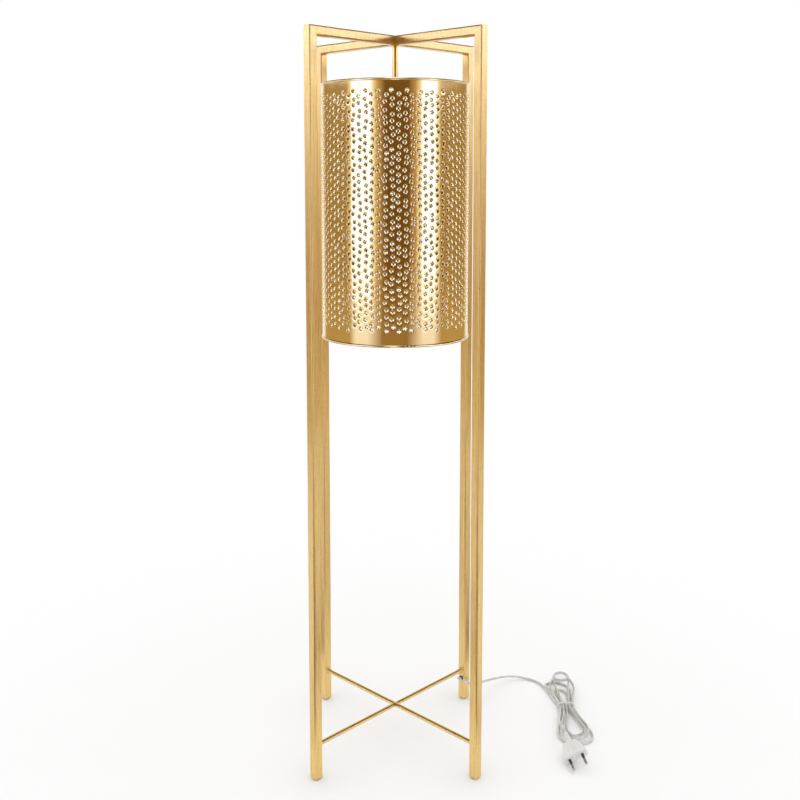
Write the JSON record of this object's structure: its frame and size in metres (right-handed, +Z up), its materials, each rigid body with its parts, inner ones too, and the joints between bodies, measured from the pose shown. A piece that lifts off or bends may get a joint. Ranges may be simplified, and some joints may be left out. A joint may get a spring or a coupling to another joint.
{
  "type": "lantern floor lamp",
  "caption": "Floor lamp with a tall perforated drum shade hung by a rod in an open frame of square tube, its lead tied in a hank.",
  "frame": {"origin": "on the floor, below the middle of the lamp", "axes": "+Z up, the camera's side is -Y, the legs stand on the diagonals between X and Y"},
  "size_m": [0.4007, 0.2824, 1],
  "materials": {
    "frame": "satin",
    "shade": "polished",
    "plated_steel": "polished",
    "contacts": "satin",
    "black_plastic": "matte",
    "white_plastic": "satin",
    "lead": "glossy"
  },
  "bodies": {
    "root": {"leg_front_left": "frame", "leg_front_right": "frame", "leg_back_left": "frame", "leg_back_right": "frame", "top_bar_through": "frame", "top_half_bar_front": "frame", "top_half_bar_back": "frame", "stretcher_through": "frame", "stretcher_half_front": "frame", "stretcher_half_back": "frame", "stretcher_collars": "frame", "foot_glides": "black_plastic", "lead_bush": "black_plastic", "rod_bush": "frame", "hang_rod": "frame", "shade_sheet_left": "shade", "shade_sheet_front": "shade", "shade_sheet_right": "shade", "shade_top_rim": "shade", "shade_bottom_rim": "shade", "shade_spider": "plated_steel", "rod_nut": "plated_steel", "rod_washer": "plated_steel", "lampholder_cap": "black_plastic", "lampholder_body": "black_plastic", "lampholder_block": "white_plastic", "screw_shell": "contacts", "centre_contact": "contacts", "terminal_screws": "plated_steel", "inner_lead": "lead", "cord_run": "lead", "cord_hank": "lead", "hank_tie": "white_plastic", "cord_tail": "lead", "strain_relief": "white_plastic", "plug_body": "white_plastic", "plug_pins": "plated_steel", "pin_sleeves": "black_plastic"}
  },
  "joints": []
}
